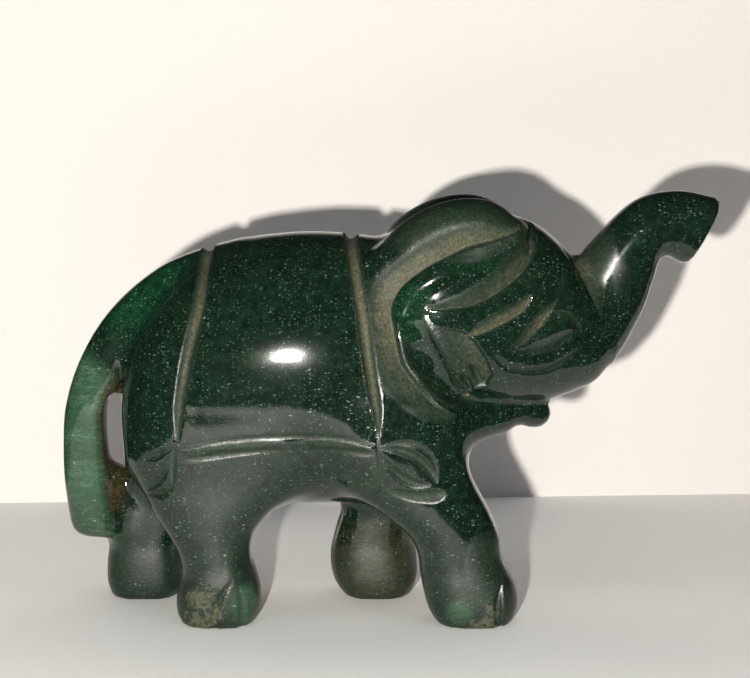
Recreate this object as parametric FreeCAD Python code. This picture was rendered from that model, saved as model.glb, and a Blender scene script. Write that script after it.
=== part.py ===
"""Carved jade elephant, walking with its trunk raised: one piece of polished stone.

Frame: millimetres, +X from tail to head, +Y to the elephant's left, +Z up.
The origin is on the ground under the middle of the figure.
"""
import FreeCAD, Part
import math
import os

Vec = FreeCAD.Vector

# ---- driving dimensions (mm) ----
SOLE_Z = 0.0           # the four soles rest on this plane
BACK_Z = 48.4          # highest point of the saddle cloth
BELLY_Z = 15.4         # crown of the arch between the legs
BODY_HALF_WIDTH = 14.0
LEG_SPACING = 9.0      # from the middle plane to each leg's centre line
FOOT_HALF_WIDTH = 5.4  # across the figure
STRIDE = 11.0          # how far the left legs trail behind the right legs
GROOVE_LIFT = 0.25     # a groove's cutter is centred this far outside the surface, as a share of its radius

RIGHT, LEFT = -1, 1    # sides of the figure, as signs of y
PLUMP = 2.3            # superellipse exponent of the fuller sections; 2 is an ellipse
SECTION_POINTS = 20    # interpolated points on each section of a solid
CUTTER_POINTS = 8      # the same, on a groove's cutter
FAR_OUT = 30.0         # y of a point well outside the figure


# ---- skinning ----
def section(centre, up, half_height, half_width, roundness=2.0):
    """Points of a closed section about centre: up is its height direction and its width runs along Y."""
    points = []
    for i in range(SECTION_POINTS):
        angle = 2 * math.pi * i / SECTION_POINTS
        c, s = math.cos(angle), math.sin(angle)
        across = math.copysign(abs(c) ** (2 / roundness), c) * half_width
        height = math.copysign(abs(s) ** (2 / roundness), s) * half_height
        points.append(centre + up * height + Vec(0, across, 0))
    return points


def skin(sections):
    """Closed solid whose smooth side runs through every section, from matching point to matching point."""
    count = len(sections[0])
    around = [i / count for i in range(count + 1)]
    pole_rows = []
    for points in sections:
        curve = Part.BSplineCurve()
        curve.interpolate(Points=points, PeriodicFlag=True, Parameters=around)
        pole_rows.append(curve.getPoles())
    u_knots, u_mults = curve.getKnots(), curve.getMultiplicities()

    travelled = [0.0]
    for row, following in zip(pole_rows, pole_rows[1:]):
        step = sum(p.distanceToPoint(q) for p, q in zip(row, following)) / len(row)
        travelled.append(travelled[-1] + step)
    along = [t / travelled[-1] for t in travelled]
    columns = []
    for i in range(len(pole_rows[0])):
        curve = Part.BSplineCurve()
        curve.interpolate(Points=[row[i] for row in pole_rows], Parameters=along)
        columns.append(curve.getPoles())
    v_knots, v_mults = curve.getKnots(), curve.getMultiplicities()

    surface = Part.BSplineSurface()
    surface.buildFromPolesMultsKnots(columns, u_mults, v_mults, u_knots, v_knots, True, False, 3, 3)
    ends = [Part.Face(Part.Wire([surface.vIso(v).toShape()])) for v in (v_knots[0], v_knots[-1])]
    shell = Part.makeShell([surface.toShape()] + ends)
    shell.sewShape()
    solid = Part.Solid(shell)
    if solid.Volume < 0:
        solid.reverse()
    return solid


def path_skin(stations, roundness=2.0):
    """Solid along a path: stations are (x, y, z, direction in degrees from +X, half height, half width)."""
    sections = []
    for x, y, z, direction, half_height, half_width in stations:
        angle = math.radians(direction + 90)
        up = Vec(math.cos(angle), 0, math.sin(angle))
        sections.append(section(Vec(x, y, z), up, half_height, half_width, roundness))
    return skin(sections)


# ---- masses of stone ----
def torso():
    """Barrel of the body, chest and rump: stations are (x, top, bottom, half width)."""
    w = BODY_HALF_WIDTH
    stations = [
        (-33.5, 28.0, 20.5, 0.24 * w),
        (-32.4, 33.4, 17.6, 0.55 * w),
        (-29.6, 39.4, 15.4, 0.80 * w),
        (-24.5, 45.0, 14.8, 0.95 * w),
        (-17.0, BACK_Z - 0.6, 15.0, w),
        (-9.0, BACK_Z, BELLY_Z, w),
        (-2.0, BACK_Z - 0.6, BELLY_Z, w),
        (3.5, BACK_Z - 0.9, 15.6, 0.95 * w),
        (7.5, BACK_Z - 2.5, 16.8, 0.84 * w),
        (10.0, BACK_Z - 6.0, 18.6, 0.66 * w),
        (11.6, BACK_Z - 11.0, 21.0, 0.42 * w),
    ]
    sections = []
    for x, top, bottom, half_width in stations:
        centre = Vec(x, 0, (top + bottom) / 2)
        sections.append(section(centre, Vec(0, 0, 1), (top - bottom) / 2, half_width, PLUMP))
    return skin(sections)


def head():
    """Domed head, from inside the neck to the root of the trunk."""
    return path_skin([
        (-1.0, 0, 40.0, 14, 6.5, 10.0),
        (4.0, 0, 40.2, 8, 10.6, 12.7),
        (10.0, 0, 39.9, 2, 12.7, 12.6),
        (15.5, 0, 39.3, -3, 12.2, 11.2),
        (20.0, 0, 37.8, -6, 10.4, 9.2),
        (24.3, 0, 36.6, 6, 7.6, 7.0),
        (27.2, 0, 36.8, 20, 4.4, 4.4),
    ], PLUMP)


def trunk():
    """Raised trunk, from inside the head up over its bend to the cut tip."""
    return path_skin([
        (18.0, 0, 34.6, 4, 6.6, 6.6),
        (23.4, 0, 36.1, 24, 7.3, 6.3),
        (27.9, 0, 40.3, 54, 5.9, 5.4),
        (30.3, 0, 44.5, 60, 4.7, 4.8),
        (32.8, 0, 47.8, 42, 4.0, 4.3),
        (36.2, 0, 49.3, 2, 4.1, 4.3),
        (39.8, 0, 47.9, -27, 4.3, 4.7),
    ])


def lower_jaw():
    """Lower lip, from inside the throat to its tip; the gap above its front half is the open mouth."""
    return path_skin([
        (5.0, 0, 22.8, 10, 5.2, 8.4),
        (9.3, 0, 23.7, 10, 3.8, 7.0),
        (13.1, 0, 24.8, 4, 2.7, 5.4),
        (16.3, 0, 24.9, 0, 1.3, 3.8),
        (18.8, 0, 24.8, -4, 1.3, 3.1),
        (20.7, 0, 25.1, -6, 0.8, 2.0),
    ])


def tail():
    """Tail that arches from the back down to the left hind leg and leaves a slot behind the rump."""
    return path_skin([
        (-20.5, 0, 43.6, 200, 2.6, 4.6),
        (-26.4, 0, 41.2, 210, 3.1, 4.2),
        (-32.3, 0, 36.4, 228, 3.4, 3.7),
        (-36.6, 0, 29.5, 248, 3.2, 3.2),
        (-38.3, 0.6, 21.5, 264, 3.0, 3.0),
        (-38.2, 2.0, 14.5, 272, 3.1, 3.1),
        (-37.8, 3.0, 9.2, 274, 2.8, 2.9),
    ])


def leg(side, stations):
    """Leg on one side, rising from its flat sole: stations are (z, rear x, front x, half width, inward shift)."""
    sections = []
    for z, rear, front, half_width, inward in stations:
        centre = Vec((rear + front) / 2, side * (LEG_SPACING - inward), z)
        sections.append(section(centre, Vec(1, 0, 0), (front - rear) / 2, half_width, PLUMP))
    return skin(sections)


def right_fore_leg():
    w = FOOT_HALF_WIDTH
    return leg(RIGHT, [
        (SOLE_Z, 5.2, 14.3, 0.86 * w, 0),
        (1.6, 4.4, 15.3, 0.97 * w, 0),
        (4.4, 3.8, 15.4, w, 0),
        (8.0, 3.5, 13.4, 0.90 * w, 0.1),
        (11.0, 2.6, 13.4, 0.92 * w, 0.4),
        (14.2, -1.2, 12.3, 0.96 * w, 0.9),
        (18.0, -5.0, 10.6, w, 1.3),
        (25.0, -5.0, 9.0, 0.85 * w, 2.4),
    ])


def left_fore_leg():
    w, back = FOOT_HALF_WIDTH, STRIDE
    return leg(LEFT, [
        (SOLE_Z, 5.4 - back, 14.1 - back, 0.86 * w, 0),
        (1.6, 4.4 - back, 15.1 - back, 0.97 * w, 0),
        (5.0, 3.6 - back, 15.2 - back, w, 0),
        (8.5, 4.6 - back, 14.2 - back, 0.90 * w, 0.1),
        (11.5, 5.2 - back, 15.2 - back, 0.92 * w, 0.4),
        (15.0, 4.0 - back, 18.0 - back, 0.96 * w, 0.9),
        (19.0, 2.5 - back, 20.5 - back, w, 1.3),
        (25.0, 4.0 - back, 20.0 - back, 0.85 * w, 2.4),
    ])


def right_hind_leg():
    w = FOOT_HALF_WIDTH
    return leg(RIGHT, [
        (SOLE_Z, -25.2, -16.4, 0.86 * w, 0),
        (1.6, -26.1, -15.3, 0.97 * w, 0),
        (3.8, -26.2, -15.2, w, 0),
        (7.0, -25.7, -16.1, 0.90 * w, 0.1),
        (10.2, -26.8, -15.3, 0.92 * w, 0.3),
        (13.6, -28.6, -12.8, 0.97 * w, 0.6),
        (17.5, -30.5, -9.5, w, 1.0),
        (23.0, -31.4, -10.0, 0.98 * w, 1.5),
        (29.0, -30.0, -14.0, 0.85 * w, 2.4),
    ])


def left_hind_leg():
    w, back = FOOT_HALF_WIDTH, STRIDE
    return leg(LEFT, [
        (SOLE_Z, -25.2 - back, -16.6 - back, 0.86 * w, 0),
        (1.6, -25.8 - back, -15.6 - back, 0.97 * w, 0),
        (4.0, -25.8 - back, -15.4 - back, w, 0),
        (7.5, -25.4 - back, -15.6 - back, 0.92 * w, 0.2),
        (11.0, -25.5 - back, -13.5 - back, 0.95 * w, 0.7),
        (15.5, -25.0 - back, -9.0 - back, w, 1.3),
        (20.0, -22.6 - back, -4.5 - back, w, 1.6),
        (25.0, -20.6 - back, -2.0 - back, 0.95 * w, 2.0),
        (29.0, -19.0 - back, -3.0 - back, 0.85 * w, 2.6),
    ])


# ---- carved lines, as (x, z, radius) seen from the side ----
FRONT_STRAP = [(-0.8, 24.2, 0.25), (-1.4, 28.0, 0.7), (-2.5, 34.8, 0.8), (-3.5, 41.5, 0.8), (-4.2, 46.0, 0.8)]
REAR_STRAP = [(-25.5, 22.5, 0.3), (-25.0, 28.5, 0.7), (-24.0, 34.8, 0.8), (-22.9, 40.5, 0.8), (-22.3, 44.2, 0.8)]
HEM = [(-25.0, 21.2, 0.3), (-18.8, 22.8, 0.5), (-12.8, 23.6, 0.5), (-6.8, 23.5, 0.5), (-1.4, 22.8, 0.3)]
EAR_CHANNEL = [
    (14.6, 48.6, 0.4), (10.4, 48.4, 0.9), (6.2, 47.0, 1.0), (2.4, 44.6, 1.0), (0.1, 41.4, 0.9),
    (-0.3, 38.0, 0.8), (0.2, 34.4, 0.8), (2.0, 31.0, 0.7), (4.8, 27.8, 0.5), (8.2, 25.2, 0.3),
]
INNER_EAR = [(17.0, 47.2, 1.0), (16.2, 45.2, 1.2), (14.2, 43.5, 1.2), (11.2, 42.2, 1.1), (8.2, 40.9, 0.9), (5.2, 40.0, 0.3)]
EYE = [
    (13.6, 35.3, 0.2), (15.6, 37.8, 0.5), (18.6, 39.8, 0.6), (21.4, 39.3, 0.6),
    (22.6, 36.8, 0.5), (21.3, 34.0, 0.6), (18.4, 32.4, 0.6), (15.6, 32.8, 0.5), (14.1, 33.9, 0.2),
]
CHEEK_CUT = [(9.8, 36.6, 0.2), (12.4, 37.8, 0.6), (14.9, 39.2, 0.7), (17.3, 40.7, 0.3)]
FORE_LEAF_UPPER = [(-0.4, 21.3, 0.2), (1.8, 20.8, 0.45), (4.0, 19.2, 0.45), (6.0, 17.1, 0.2)]
FORE_LEAF_LOWER = [(-0.5, 18.3, 0.2), (1.5, 17.1, 0.5), (3.9, 16.6, 0.5), (6.3, 17.3, 0.4)]
HIND_LEAF = [(-29.2, 16.8, 0.2), (-28.6, 17.7, 0.4), (-27.8, 18.8, 0.4), (-26.6, 20.3, 0.2)]


def first_hit(stone, start, end):
    """Where a straight line from start to end first meets the stone."""
    inside = Part.makeLine(start, end).common(stone)
    return min((v.Point for v in inside.Vertexes), key=start.distanceToPoint)


def cutter(centres, radii):
    """Round-nosed cutter of changing radius, along a path of surface points."""
    path = Part.BSplineCurve()
    path.interpolate(Points=centres)
    sections = []
    for centre, radius in zip(centres, radii):
        along = Vec(*path.tangent(path.parameter(centre))[0])
        across = along.cross(Vec(0, 1, 0)).normalize()
        outward = across.cross(along).normalize()
        sections.append([
            centre + across * (radius * math.cos(a)) + outward * (radius * math.sin(a))
            for a in (2 * math.pi * i / CUTTER_POINTS for i in range(CUTTER_POINTS))
        ])
    return skin(sections)


def side_points(stone, side, line):
    """Places on one side of the stone where a cutter of each radius is centred."""
    centres = []
    for x, z, radius in line:
        point = first_hit(stone, Vec(x, side * FAR_OUT, z), Vec(x, 0, z))
        centres.append(point + Vec(0, side * GROOVE_LIFT * radius, 0))
    return centres


def side_groove(stone, side, line):
    return cutter(side_points(stone, side, line), [radius for _, _, radius in line])


def strap_groove(stone, line):
    """Groove that climbs one side, crosses the back and goes down the other side."""
    x, z, radius = line[-1]
    crest = first_hit(stone, Vec(x, 0, 2 * BACK_Z), Vec(x, 0, z)) + Vec(0, 0, GROOVE_LIFT * radius)
    centres = side_points(stone, RIGHT, line) + [crest] + side_points(stone, LEFT, line)[::-1]
    radii = [r for _, _, r in line]
    return cutter(centres, radii + [radius] + radii[::-1])


def carve(stone):
    """Cuts the saddle straps, hem, ears, eyes and leaf tassels into both sides of the stone."""
    lines = [HEM, EAR_CHANNEL, INNER_EAR, EYE, CHEEK_CUT, FORE_LEAF_UPPER, FORE_LEAF_LOWER, HIND_LEAF]
    for line in (FRONT_STRAP, REAR_STRAP):
        stone = stone.cut(strap_groove(stone, line))
    for side in (RIGHT, LEFT):
        for line in lines:
            stone = stone.cut(side_groove(stone, side, line))
    return stone


def main():
    masses = [head(), trunk(), lower_jaw(), tail()]
    masses += [right_fore_leg(), left_fore_leg(), right_hind_leg(), left_hind_leg()]
    stone = torso().fuse(masses)
    stone = carve(stone.Solids[0])
    os.makedirs("parts", exist_ok=True)
    stone.Solids[0].exportStep("parts/carved_elephant.step")


main()
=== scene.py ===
"""Looks of the carved jade elephant: one polished stone, sculpted as a smooth solid and then carved.

The sculpting works in millimetres in the CAD frame: +X tail to head, +Y the elephant's left, +Z up.
"""
import math

import bpy
import numpy as np
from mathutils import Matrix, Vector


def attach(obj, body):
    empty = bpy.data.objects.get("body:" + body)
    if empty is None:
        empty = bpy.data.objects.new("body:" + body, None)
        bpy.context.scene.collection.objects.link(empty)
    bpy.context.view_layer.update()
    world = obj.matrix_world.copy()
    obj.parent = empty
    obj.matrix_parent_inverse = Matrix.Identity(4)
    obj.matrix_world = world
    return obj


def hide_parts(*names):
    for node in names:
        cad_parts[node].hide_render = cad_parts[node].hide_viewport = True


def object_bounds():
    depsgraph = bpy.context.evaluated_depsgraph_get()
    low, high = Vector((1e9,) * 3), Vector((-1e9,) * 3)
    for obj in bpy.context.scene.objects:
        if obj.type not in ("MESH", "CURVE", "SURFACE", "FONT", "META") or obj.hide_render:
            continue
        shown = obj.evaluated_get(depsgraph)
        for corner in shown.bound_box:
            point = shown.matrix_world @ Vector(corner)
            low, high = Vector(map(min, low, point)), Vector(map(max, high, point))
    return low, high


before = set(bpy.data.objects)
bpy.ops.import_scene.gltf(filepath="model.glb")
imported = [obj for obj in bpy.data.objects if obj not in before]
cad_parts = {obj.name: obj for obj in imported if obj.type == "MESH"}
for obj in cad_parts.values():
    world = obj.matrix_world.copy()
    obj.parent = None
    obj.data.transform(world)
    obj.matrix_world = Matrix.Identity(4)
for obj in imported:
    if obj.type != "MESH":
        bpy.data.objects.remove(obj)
cad_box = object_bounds()

MM = 0.001
RIGHT, LEFT = -1, 1      # sides of the elephant, as signs of y

# ---- driving dimensions of the sculpture (mm), the same as the CAD part's ----
BACK_Z = 48.4            # highest point of the saddle cloth
BODY_HALF_WIDTH = 14.0
FOOT_HALF_WIDTH = 5.4
STRIDE = 11.0            # how far the left legs trail behind the right legs

# ---- shapes of sections: superellipse exponents, where 2 is an ellipse ----
PLUMP = 2.3              # body
FLATTER = 2.4            # trunk and lower lip
BLOCKY = 2.8             # head, tail and legs

# ---- long hole between the tail and the rump (mm) ----
HOLE_X, HOLE_Z = -34.5, 22.9
HOLE_HALF_WIDTH, HOLE_HALF_HEIGHT = 1.35, 4.8
HOLE_TILT = 6            # degrees that its top leans towards the tail

# ---- relief on the head (mm) ----
HOLLOW_DEPTH = 0.75      # ear's hollow
FLAP_FRONT_DROP = 0.87   # how far the front of the ear's inner flap lies below its rear
FRILL_HEIGHT = 0.40      # two bumps in the ear's hollow
LID_DEPTH = 0.28         # lower eyelid
EYEBALL_HEIGHT = 0.50

# ---- resolution (mm) ----
CELL = 0.6               # grid of the uncarved solid
MARGIN = 2.5             # empty grid around it
PLAIN_EDGE = 1.10        # longest mesh edge on plain stone
NEAR_EDGE = 0.62         # the same beside a carved line
FINE_EDGE = 0.34         # the same inside a carved line
WALL_EDGE = 0.28         # the same on the steep wall of a carved line
REFINE_ROUNDS = 3


# ======================= curves =======================
def smooth_curve(x, knots, values):
    """Cubic curve through (knots, values), held flat past both ends."""
    knots, values = np.asarray(knots, float), np.asarray(values, float)
    step = np.diff(knots)
    slope = np.diff(values) / step
    tangent = np.concatenate((
        slope[:1],
        (slope[:-1] * step[1:] + slope[1:] * step[:-1]) / (step[1:] + step[:-1]),
        slope[-1:],
    ))
    x = np.clip(x, knots[0], knots[-1])
    i = np.clip(np.searchsorted(knots, x, side="right") - 1, 0, len(step) - 1)
    t = (x - knots[i]) / step[i]
    from_start = (1 + 2 * t) * (1 - t) ** 2 * values[i] + t * (1 - t) ** 2 * step[i] * tangent[i]
    from_end = t * t * (3 - 2 * t) * values[i + 1] + t * t * (t - 1) * step[i] * tangent[i + 1]
    return from_start + from_end


def polyline(points, per_span=6):
    """Dense rows of a smooth open curve; the first two columns are x and z, and the rest go along."""
    rows = np.asarray(points, float)
    run = np.concatenate(([0.0], np.cumsum(np.hypot(*np.diff(rows[:, :2], axis=0).T))))
    t = np.linspace(0, run[-1], per_span * (len(rows) - 1) + 1)
    return np.stack([smooth_curve(t, run, column) for column in rows.T], axis=1)


def nearest(x, z, line):
    """Distance from each (x, z) to a polyline, + on the left of its direction, and the fractional row."""
    best = np.full(x.shape, np.inf)
    row = np.zeros(x.shape)
    hand = np.ones(x.shape)
    for i, ((ax, az), (bx, bz)) in enumerate(zip(line[:-1, :2], line[1:, :2])):
        dx, dz = bx - ax, bz - az
        px, pz = x - ax, z - az
        t = np.clip((px * dx + pz * dz) / (dx * dx + dz * dz), 0, 1)
        squared = (px - t * dx) ** 2 + (pz - t * dz) ** 2
        closer = squared < best
        best[closer] = squared[closer]
        row[closer] = (i + t)[closer]
        hand[closer] = np.where(dx * pz - dz * px < 0, -1.0, 1.0)[closer]
    return np.sqrt(best) * hand, row


def ramp(value, start, end):
    """0 before start, 1 past end, smooth between them."""
    t = np.clip((value - start) / (end - start), 0, 1)
    return t * t * (3 - 2 * t)


# ======================= the uncarved solid =======================
low = np.array(cad_box[0]) / MM - MARGIN
high = np.array(cad_box[1]) / MM + MARGIN
axes = [np.arange(a, b, CELL) for a, b in zip(low, high)]
GX, GY, GZ = np.meshgrid(*axes, indexing="ij", sparse=True)


def as_distance(field, along=None):
    """Turns a field that is zero on a surface into roughly the distance from it.

    On a mass whose size changes along one axis, the field's slope along that axis means nothing far
    outside the mass, so it is faded out there.
    """
    slopes = list(np.gradient(field, CELL))
    if along is not None:
        slopes[along] = slopes[along] * np.clip((0.6 - field) / 0.6, 0, 1)
    steepness = np.sqrt(sum(g * g for g in slopes))
    return field / np.maximum(steepness, 0.02)


def superellipse(a, b, roundness):
    """Zero on the superellipse whose half axes are 1, negative inside it."""
    return (np.abs(a) ** roundness + np.abs(b) ** roundness) ** (1 / roundness) - 1


def along_x(stations, roundness=PLUMP):
    """Mass along X, even about the middle plane: stations are (x, top, bottom, half width)."""
    x, top, bottom, width = np.array(stations, float).T
    top_z, bottom_z = smooth_curve(GX, x, top), smooth_curve(GX, x, bottom)
    centre, half = (top_z + bottom_z) / 2, (top_z - bottom_z) / 2
    across = GY / smooth_curve(GX, x, width)
    field = as_distance(superellipse((GZ - centre) / half, across, roundness), along=0)
    return np.maximum(field, np.maximum(x[0] - GX, GX - x[-1]))


def along_path(stations, roundness=2.0):
    """Mass along a path: stations are (x, z, y, half height, half width)."""
    line = polyline(stations)
    across, row = nearest(*np.broadcast_arrays(GX[:, 0], GZ[0]), line)
    rows = np.arange(len(line))
    y, height, width = (np.interp(row, rows, column)[:, None, :] for column in line.T[2:])
    return as_distance(superellipse(across[:, None, :] / height, (GY - y) / width, roundness))


def along_z(side, stations, shift=0.0, roundness=BLOCKY):
    """Leg on one side: stations are (z, rear x, front x, half width, y of its outer side)."""
    z, rear, front, width, outer = np.array(stations, float).T
    rear_x, front_x = smooth_curve(GZ, z, rear) + shift, smooth_curve(GZ, z, front) + shift
    centre, half = (rear_x + front_x) / 2, (front_x - rear_x) / 2
    y = side * (smooth_curve(GZ, z, outer) - smooth_curve(GZ, z, width))
    across = (GY - y) / smooth_curve(GZ, z, width)
    field = as_distance(superellipse((GX - centre) / half, across, roundness), along=2)
    return np.maximum(field, GZ - z[-1])


def join(a, b, fillet):
    """Union of two masses with a fillet of about this size."""
    h = np.maximum(fillet - np.abs(a - b), 0) / fillet
    return np.minimum(a, b) - h * h * fillet / 4


def trim(mass, x, z, direction, edge):
    """Cuts off what lies past a plane square to the side view, leaving a slightly rounded edge."""
    angle = math.radians(direction)
    beyond = (GX - x) * math.cos(angle) + (GZ - z) * math.sin(angle)
    return -join(-mass, -beyond - 0 * GY, edge)


def torso():
    w = BODY_HALF_WIDTH
    return along_x([
        (-33.9, 25.6, 21.4, 0.10 * w), (-33.5, 28.6, 19.0, 0.32 * w), (-32.5, 32.2, 17.2, 0.56 * w),
        (-30.8, 36.4, 15.9, 0.75 * w), (-28.0, 40.8, 15.0, 0.86 * w), (-24.5, 44.0, 14.4, 0.93 * w),
        (-19.0, 47.1, 14.1, 0.98 * w), (-13.0, BACK_Z - 0.2, 13.9, w),
        (-7.0, BACK_Z - 0.1, 13.9, 0.985 * w), (-2.0, BACK_Z - 0.6, 14.2, 0.94 * w),
        (1.5, BACK_Z - 1.2, 14.8, 0.89 * w), (4.0, BACK_Z - 3, 15.8, 0.83 * w),
        (6.0, BACK_Z - 6, 17.4, 0.73 * w), (7.8, BACK_Z - 10, 19.4, 0.60 * w),
        (9.2, BACK_Z - 13, 21.6, 0.44 * w), (10.2, BACK_Z - 16, 23.8, 0.28 * w),
        (10.8, BACK_Z - 18, 25.5, 0.14 * w),
    ])


def head():
    return along_x([
        (-3.0, 44.0, 35.0, 9.0), (1.0, 48.2, 31.5, 11.6), (5.0, 50.4, 29.0, 12.6),
        (10.0, 51.4, 27.4, 12.5), (15.0, 50.8, 27.1, 11.5), (19.4, 49.0, 27.2, 10.0),
        (22.0, 46.8, 27.7, 8.8), (24.2, 44.4, 28.6, 7.3), (26.5, 41.6, 30.0, 5.6),
        (28.0, 38.6, 32.4, 3.4),
    ], roundness=BLOCKY)


def ear_root(side):
    """Domed top of one ear, a ridge beside the crown of the head."""
    y = side * 7.6
    return along_path([
        (0.0, 44.6, y, 2.4, 2.8), (4.0, 47.2, y, 3.5, 3.8), (8.0, 48.7, y, 3.9, 4.3),
        (12.0, 48.9, y, 3.7, 4.2), (14.9, 48.0, y, 2.6, 3.2),
    ])


def trunk():
    mass = along_path([
        (18.0, 34.9, 0, 6.4, 6.4), (23.2, 36.4, 0, 7.1, 5.7), (27.2, 40.2, 0, 5.6, 4.95),
        (29.5, 44.2, 0, 4.7, 4.8), (31.4, 47.3, 0, 3.95, 4.85), (33.7, 49.1, 0, 3.95, 4.9),
        (36.4, 49.3, 0, 4.3, 4.9), (39.4, 48.4, 0, 4.7, 4.95), (43.5, 46.6, 0, 5.2, 5.2),
    ], roundness=FLATTER)
    return trim(mass, 39.6, 47.5, -28, 1.0)


def lower_jaw():
    """Lower lip: a beak with a flat slanted end and a chin that dips below it."""
    mass = along_path([
        (0.0, 23.6, 0, 6.0, 11.6), (4.0, 24.4, 0, 5.2, 11.2), (8.0, 24.8, 0, 4.1, 9.9),
        (11.5, 25.1, 0, 3.2, 8.3), (14.5, 25.5, 0, 2.5, 6.8), (16.8, 25.8, 0, 1.85, 5.6),
        (18.8, 25.6, 0, 2.15, 5.0), (22.0, 25.9, 0, 1.7, 4.8),
    ], roundness=FLATTER)
    return trim(mass, 20.8, 25.8, 22, 3.2)


def tail():
    """A slab that carries on the line of the back and hangs down to the left hind leg."""
    mass = along_path([
        (-19.0, 44.0, 0, 2.6, 3.4), (-23.1, 43.2, 0, 2.9, 3.3), (-26.5, 41.9, 0, 2.9, 3.2),
        (-29.2, 40.1, 0, 2.9, 3.1), (-32.1, 37.5, 0, 2.9, 3.05), (-34.2, 34.9, 0, 2.9, 3.05),
        (-35.8, 32.0, 0, 3.0, 3.1), (-37.3, 28.4, 0, 3.0, 3.1), (-38.2, 25.2, 0.1, 2.9, 3.1),
        (-38.6, 21.0, 0.7, 2.85, 3.0), (-38.6, 16.5, 1.5, 2.9, 3.0), (-38.3, 13.0, 2.2, 2.9, 3.0),
        (-37.8, 9.2, 2.8, 2.9, 3.0), (-37.3, 5.0, 3.2, 2.9, 3.0),
    ], roundness=BLOCKY)
    return trim(mass, -37.6, 8.7, -96, 1.8)


def right_fore_leg():
    w = FOOT_HALF_WIDTH
    return along_z(RIGHT, [
        (-2.0, 7.5, 14.0, 0.84 * w, 11.8), (0.0, 6.3, 15.3, 0.90 * w, 12.3),
        (1.6, 5.3, 16.1, 0.97 * w, 12.6), (4.3, 4.5, 16.1, w, 12.7), (6.5, 4.1, 15.2, w, 12.7),
        (8.4, 3.9, 14.3, w, 12.7), (11.0, 2.7, 14.0, w, 12.75), (14.0, -0.7, 12.8, w, 12.85),
        (18.0, -4.8, 10.7, w, 12.9), (22.0, -5.4, 9.2, 0.95 * w, 12.5), (26.0, -5.0, 8.2, 0.85 * w, 11.2),
    ])


def left_fore_leg():
    w = FOOT_HALF_WIDTH
    return along_z(LEFT, [
        (-2.0, 7.0, 12.4, 0.84 * w, 11.6), (0.0, 5.6, 13.9, 0.92 * w, 12.3),
        (1.6, 4.4, 14.8, 0.98 * w, 12.65), (5.0, 3.6, 15.0, w, 12.75), (8.5, 4.2, 14.6, w, 12.75),
        (11.5, 5.0, 15.2, w, 12.75), (15.0, 4.2, 18.0, 0.98 * w, 12.8), (19.0, 2.5, 20.5, w, 12.9),
        (25.0, 4.0, 20.0, 0.85 * w, 11.4),
    ], shift=-STRIDE)


def right_hind_leg():
    w = FOOT_HALF_WIDTH
    return along_z(RIGHT, [
        (-2.0, -24.2, -18.2, 0.84 * w, 11.8), (0.0, -25.5, -16.8, 0.90 * w, 12.3),
        (1.6, -26.2, -16.0, 0.97 * w, 12.6), (3.8, -26.2, -15.8, w, 12.7), (6.3, -25.6, -16.4, w, 12.7),
        (8.6, -25.9, -17.0, w, 12.7), (11.2, -27.2, -16.6, w, 12.75), (14.0, -29.0, -14.6, w, 12.85),
        (18.0, -30.4, -10.5, w, 12.9), (22.0, -30.9, -10.0, 0.96 * w, 12.6),
        (27.0, -30.2, -13.0, 0.85 * w, 11.6),
    ])


def left_hind_leg():
    w = FOOT_HALF_WIDTH
    return along_z(LEFT, [
        (-2.0, -24.2, -17.6, 0.84 * w, 11.6), (0.0, -25.2, -16.5, 0.92 * w, 12.3),
        (1.6, -25.8, -15.6, 0.98 * w, 12.65), (4.0, -25.9, -15.4, w, 12.75),
        (7.5, -25.5, -15.4, w, 12.75), (11.0, -25.3, -13.5, w, 12.75), (14.5, -24.4, -9.5, w, 12.8),
        (18.0, -22.2, -5.5, w, 12.9), (22.0, -20.4, -3.0, 0.97 * w, 12.6),
        (29.0, -19.0, -3.0, 0.85 * w, 11.6),
    ], shift=-STRIDE)


def tail_web():
    """Rough stone left standing between the tail and the left hind leg."""
    return along_path([
        (-35.2, 16.8, 3.2, 1.2, 2.0), (-34.8, 14.0, 4.2, 1.4, 2.6), (-34.6, 10.0, 5.5, 1.3, 2.6),
    ])


def slot(field):
    """Opens the long hole between the tail and the rump, right across the figure."""
    tilt = math.radians(HOLE_TILT)
    across = (GX - HOLE_X) * math.cos(tilt) + (GZ - HOLE_Z) * math.sin(tilt)
    along = (GZ - HOLE_Z) * math.cos(tilt) - (GX - HOLE_X) * math.sin(tilt)
    ellipse = superellipse(across / HOLE_HALF_WIDTH, along / HOLE_HALF_HEIGHT, 2.0)
    return -join(-field, as_distance(ellipse + 0 * GY), 0.9)


def uncarved_solid():
    """Distance field of the whole figure before its lines are carved."""
    field = join(torso(), lower_jaw(), 6.0)
    field = join(field, head(), 2.0)
    for side in (RIGHT, LEFT):
        field = join(field, ear_root(side), 1.6)
    field = join(field, trunk(), 1.6)
    for leg in (right_fore_leg(), left_fore_leg(), right_hind_leg(), left_hind_leg()):
        field = join(field, leg, 3.5)
    field = join(field, tail(), 2.2)
    field = slot(join(field, tail_web(), 2.6))
    return -join(-field, GZ + 0 * (GX + GY), 0.5)


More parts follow.
